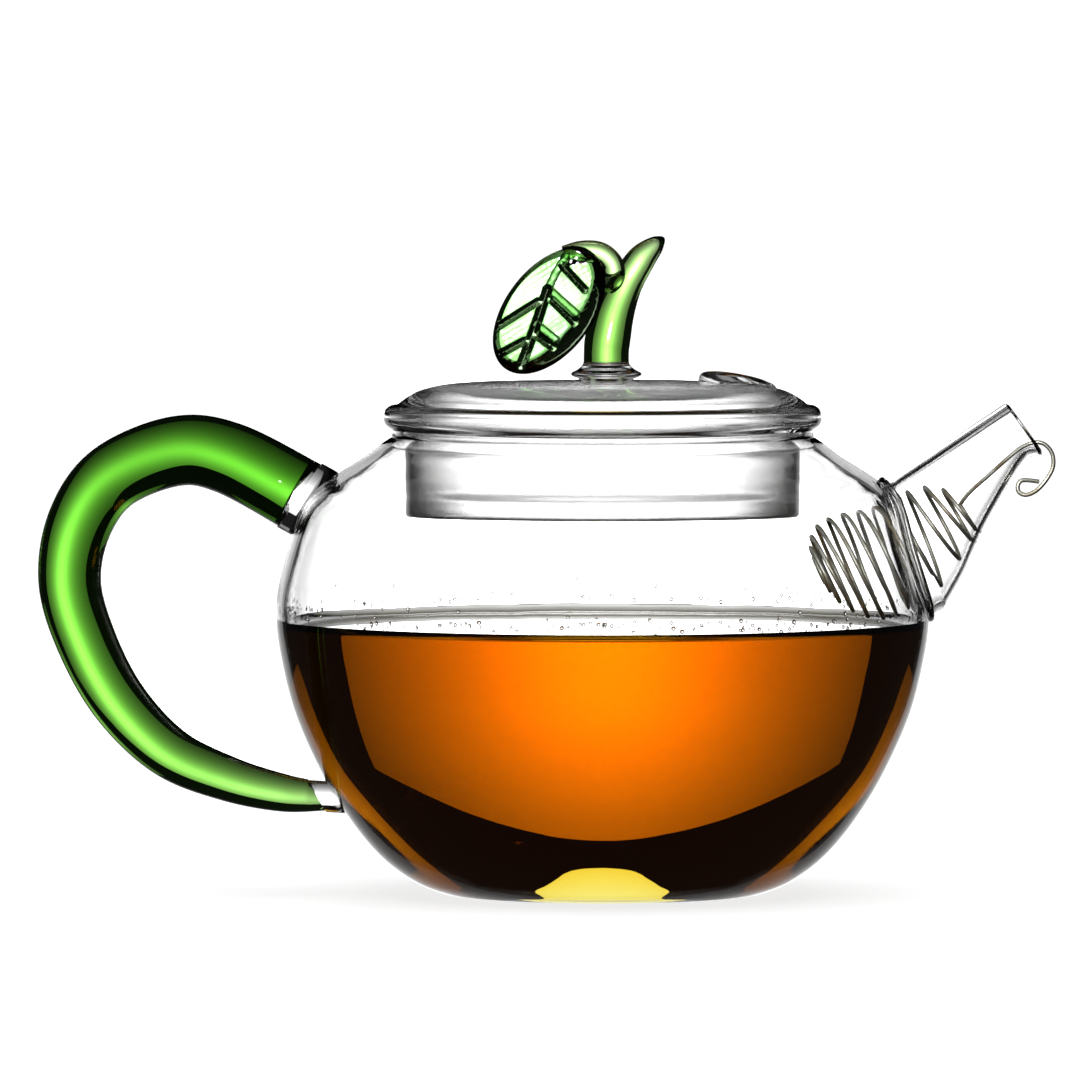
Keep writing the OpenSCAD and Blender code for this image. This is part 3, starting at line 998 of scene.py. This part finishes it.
@dataclass
class Studio:
    """Camera, floor, the bright panel behind the pot and the soft lights.

    Sizes are in metres and angles in degrees. A card's size is its left, right, bottom and top from its
    middle, and a place is right, up and towards the camera from the pot.
    """

    aim: Point = (-0.0086, 0, 0.0485)
    distance: float = 1.8
    elevation: float = 2.6
    frame_width: float = 0.1484
    panel_back: float = 0.52
    panel_sides: Point = (-0.29, 0.275)
    panel_ends: Point = (-0.5, 0.155)
    panel_spot: Point = (0, 0.02)
    panel_spread: float = 0.075
    panel_light: float = 6.0
    wall_size: Point = (-6, 6, -6, 6)
    wall_at: Point = (0, 0, -3)
    wall_light: float = 1.1
    window_size: Point = (-0.3, 0.3, -0.17, 0.3)
    window_at: Point = (0.5, 0.42, -0.42)
    window_light: float = 1.8
    window_spread: float = 0.13
    flag_size: Point = (-0.15, 0.15, -0.06, 0.08)
    flag_at: Point = (0, 0.09, -0.2)
    floor_drop: float = 0.00005
    # Radius, half height and height of the middle of the golden patch of light
    spot: Point = (0.0095, 0.0048, 0.006)

    def camera(self) -> bpy.types.Object:
        """Places the camera and returns it."""
        data = bpy.data.cameras.new("camera")
        data.sensor_width = 36
        data.lens = 36 * self.distance / self.frame_width
        data.clip_start, data.clip_end = 0.01, 30
        made = bpy.data.objects.new("camera", data)
        tilt = math.radians(self.elevation)
        made.location = Vector(self.aim) + self.distance * Vector((0, -math.cos(tilt), math.sin(tilt)))
        made.rotation_mode = "QUATERNION"
        made.rotation_quaternion = (Vector(self.aim) - made.location).to_track_quat("-Z", "Y")
        bpy.context.scene.collection.objects.link(made)
        bpy.context.scene.camera = made
        return made

    def rig(self) -> bpy.types.Object:
        """Makes the stand that holds the cards round the pot, turned as the camera is, and returns it."""
        stand = bpy.data.objects.new("card_stand", None)
        stand.location = (0, 0, self.aim[2])
        turn = stand.constraints.new("COPY_ROTATION")
        turn.target = bpy.context.scene.camera
        bpy.context.scene.collection.objects.link(stand)
        return stand

    def glow(self, name: str, strength: float, spread: float | None = None) -> bpy.types.Material:
        """Makes a white light-giving cloth.

        Args:
            name: The material's name.
            strength: Its light, in the middle if it falls off.
            spread: None for an even light, or the distance at which half the light is left.

        Returns:
            The material.
        """
        material, tree, output = new_material(name)
        light = add_node(tree, "Emission", {"Strength": strength})
        if spread is not None:
            at = add_node(tree, "TexCoord").outputs["Object"]
            square = add_node(tree, "VectorMath", {"operation": "DOT_PRODUCT"}, {0: at, 1: at})
            share = add_node(tree, "Math", {"operation": "MULTIPLY_ADD"}, {0: square.outputs["Value"]})
            share.inputs[1].default_value, share.inputs[2].default_value = spread**-2, 1
            left = add_node(tree, "Math", {"operation": "DIVIDE"}, {1: share.outputs[0]})
            left.inputs[0].default_value = strength
            tree.links.new(left.outputs[0], light.inputs["Strength"])
        tree.links.new(light.outputs[0], output.inputs["Surface"])
        return material

    def card(self, name: str, size: Point, at: Point, cloth: bpy.types.Material,
             stand: bpy.types.Object) -> bpy.types.Object:
        """Hangs a flat card that faces the pot.

        Args:
            name: The card's name.
            size: Left, right, bottom and top, in metres from its middle.
            at: Its middle: right, up and towards the camera from the pot.
            cloth: Its material.
            stand: What holds it.

        Returns:
            The card, unseen by the camera itself.
        """
        left, right, low, high = size
        bm = bmesh.new()
        bmesh.ops.create_grid(bm, x_segments=1, y_segments=1, size=0.5)
        bmesh.ops.scale(bm, vec=(right - left, high - low, 1), verts=bm.verts)
        bmesh.ops.translate(bm, vec=((right + left) / 2, (high + low) / 2, 0), verts=bm.verts)
        made = piece(name, bm)
        made.data.materials.append(cloth)
        made.parent = stand
        made.location = at
        made.rotation_mode = "QUATERNION"
        made.rotation_quaternion = (-Vector(at)).to_track_quat("Z", "Y")
        made.visible_camera = made.visible_shadow = False
        return made

    def lamp(self, name: str, size: float, power: float, at: Point, lit: Sequence[bpy.types.Object],
             stand: bpy.types.Object) -> None:
        """Hangs a square lamp that lights only some pieces, through the glass round them.

        Args:
            name: The lamp's name.
            size: Its side in metres.
            power: Its power in watts.
            at: Its place: right, up and towards the camera from the pot.
            lit: The pieces that it lights.
            stand: What holds it.
        """
        data = bpy.data.lights.new(name, "AREA")
        data.size, data.energy = size, power
        made = bpy.data.objects.new(name, data)
        made.parent, made.location = stand, at
        made.rotation_mode = "QUATERNION"
        made.rotation_quaternion = Vector(at).to_track_quat("Z", "Y")
        made.visible_camera = made.visible_transmission = False
        group = bpy.data.collections.new(name)
        for item in lit:
            group.objects.link(item)
        made.light_linking.receiver_collection = made.light_linking.blocker_collection = group
        bpy.context.scene.collection.objects.link(made)

    def floor(self) -> bpy.types.Object:
        """Lays the pale floor and returns it."""
        bm = bmesh.new()
        bmesh.ops.create_grid(bm, x_segments=1, y_segments=1, size=9)
        bmesh.ops.translate(bm, vec=(0, 0, -self.floor_drop), verts=bm.verts)
        made = piece("floor", bm)
        material, tree, output = new_material("white_acrylic_floor")
        light = add_node(tree, "Emission", {"Strength": 0.82})
        dull = add_node(tree, "BsdfDiffuse", {"Color": linear("#CCCCCC")})
        both = add_node(tree, "AddShader", {}, {0: light.outputs[0], 1: dull.outputs[0]})
        tree.links.new(both.outputs[0], output.inputs["Surface"])
        made.data.materials.append(material)
        made.visible_glossy = made.visible_transmission = False
        made.visible_diffuse = made.visible_shadow = False
        return made

    def warm_spot(self) -> bpy.types.Object:
        """Lays the patch of golden light that the tea gathers under the pot and returns it."""
        bm = bmesh.new()
        radius, half, height = self.spot
        place = Matrix.Translation((0, 0, height)) @ Matrix.Diagonal((radius, radius, half, 1))
        bmesh.ops.create_uvsphere(bm, u_segments=64, v_segments=32, radius=1, matrix=place)
        made = piece("warm_spot", bm)
        material, tree, output = new_material("light_gathered_by_tea")
        light = add_node(tree, "Emission", {"Color": linear("#DDEEFF"), "Strength": 1.9})
        tree.links.new(light.outputs[0], output.inputs["Surface"])
        made.data.materials.append(material)
        made.visible_camera = made.visible_glossy = made.visible_diffuse = made.visible_shadow = False
        return made

    def light(self, wire: bpy.types.Object, greens: Sequence[bpy.types.Object]) -> None:
        """Sets the room's grey, the panel and the lamps.

        Args:
            wire: The strainer, which has a lamp of its own.
            greens: The green pieces, which share a small lamp for their streaks.
        """
        stand = self.rig()
        world = bpy.data.worlds.new("dark_room")
        world.use_nodes = True
        world.node_tree.nodes["Background"].inputs["Color"].default_value = (0.012, 0.012, 0.012, 1)
        bpy.context.scene.world = world
        cloth = self.glow("backlight_cloth", self.panel_light, self.panel_spread)
        panel = self.card("backlight", (*self.panel_sides, *self.panel_ends),
                          (*self.panel_spot, -self.panel_back), cloth, stand)
        panel.rotation_quaternion = (1, 0, 0, 0)
        paint = self.glow("white_wall_paint", self.wall_light)
        wall = self.card("white_wall", self.wall_size, self.wall_at, paint, stand)
        wall.visible_camera = True
        wall.visible_glossy = wall.visible_transmission = wall.visible_diffuse = False
        across, up, near = self.window_at
        for name, side in (("left_window", -1), ("right_window", 1)):
            cloth = self.glow(name + "_cloth", self.window_light, self.window_spread)
            window = self.card(name, self.window_size, (across * side, up, near), cloth, stand)
            window.visible_glossy = window.visible_diffuse = False
        flag = self.card("black_flag", self.flag_size, self.flag_at, self.glow("black_velvet", 0.0), stand)
        flag.visible_transmission = flag.visible_diffuse = False
        self.lamp("strainer_fill", 0.5, 13, (-0.25, 0.35, 0.7), [wire], stand)
        self.lamp("streak_lamp", 0.07, 12, (0.05, 0.1, 1.2), greens, stand)
        lamp = bpy.data.lights.new("overhead", "SUN")
        lamp.angle, lamp.energy = math.radians(70), 1.6
        hung = bpy.data.objects.new("overhead", lamp)
        hung.visible_camera = hung.visible_glossy = hung.visible_transmission = False
        bpy.context.scene.collection.objects.link(hung)
        scene = bpy.context.scene
        scene.view_settings.view_transform = "Standard"
        scene.cycles.max_bounces = scene.cycles.transmission_bounces = 28


# ---------------------------------------------------------------- assembly


@dataclass
class Part:
    """A finished piece: what it rides on, what it stands for and its finish."""

    made: bpy.types.Object
    body: str
    finish: bpy.types.Material
    nodes: tuple[str, ...] = ()
    slot: str | None = None

    def dress(self) -> None:
        """Gives the piece its finish and its body, and hides the parts that it stands for."""
        self.made.data.materials.clear()
        self.made.data.materials.append(self.finish)
        if self.nodes:
            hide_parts(*self.nodes)
        if self.body:
            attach(self.made, self.body)
        LOG.info("%s: %d triangles, on %s", self.made.name, triangles(self.made), self.body or "two bodies")


def main() -> None:
    """Builds the teapot piece by piece, then the studio."""
    logging.basicConfig(level=logging.INFO, format="%(name)s: %(message)s", stream=sys.stdout)
    clear, green, steel, liquor = (f.make() for f in (CLEAR_GLASS, GREEN_GLASS, STEEL_WIRE, TEA_LIQUOR))
    studio = Studio()
    studio.camera()

    bowl = Bowl()
    Part(bowl.build(), "pot", clear, ("pot_body",), "clear_glass").dress()
    tube, seam = Spout(bowl).build()
    for made, node in ((tube, "spout"), (seam, "spout_weld")):
        Part(made, "pot", clear, (node,), "clear_glass").dress()
    rod, top_collar, low_collar = Handle(bowl).build()
    Part(rod, "pot", green, ("handle",), "green_glass").dress()
    for made, node in ((top_collar, "handle_upper_weld"), (low_collar, "handle_lower_weld")):
        Part(made, "pot", clear, (node,), "clear_glass").dress()

    Part(Lid().build(), "lid", STEAMED_GLASS.make(), ("lid",), "clear_glass").dress()
    knob = Knob()
    Part(knob.build_foot(), "lid", clear, ("knob_foot",), "clear_glass").dress()
    stem, stalk, leaf = knob.build_stem(), knob.build_stalk(), knob.build_leaf()
    Part(stem, "lid", green, ("knob_stem",), "green_glass").dress()
    Part(stalk, "lid", green, ("leaf_stalk",), "green_glass").dress()
    Part(leaf, "lid", LEAF_GLASS.make(), ("knob_leaf",), "green_glass").dress()

    wire = Strainer().build()
    Part(wire, "", steel, ("strainer_coil", "strainer_leg"), "steel_wire").dress()
    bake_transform(wire)

    tea = Tea(bowl)
    Part(tea.build(), "pot", liquor).dress()
    Part(tea.build_drops(), "pot", clear).dress()

    studio.floor()
    studio.warm_spot()
    studio.light(wire, (rod, stem, stalk, leaf))


if __name__ == "__main__":
    main()
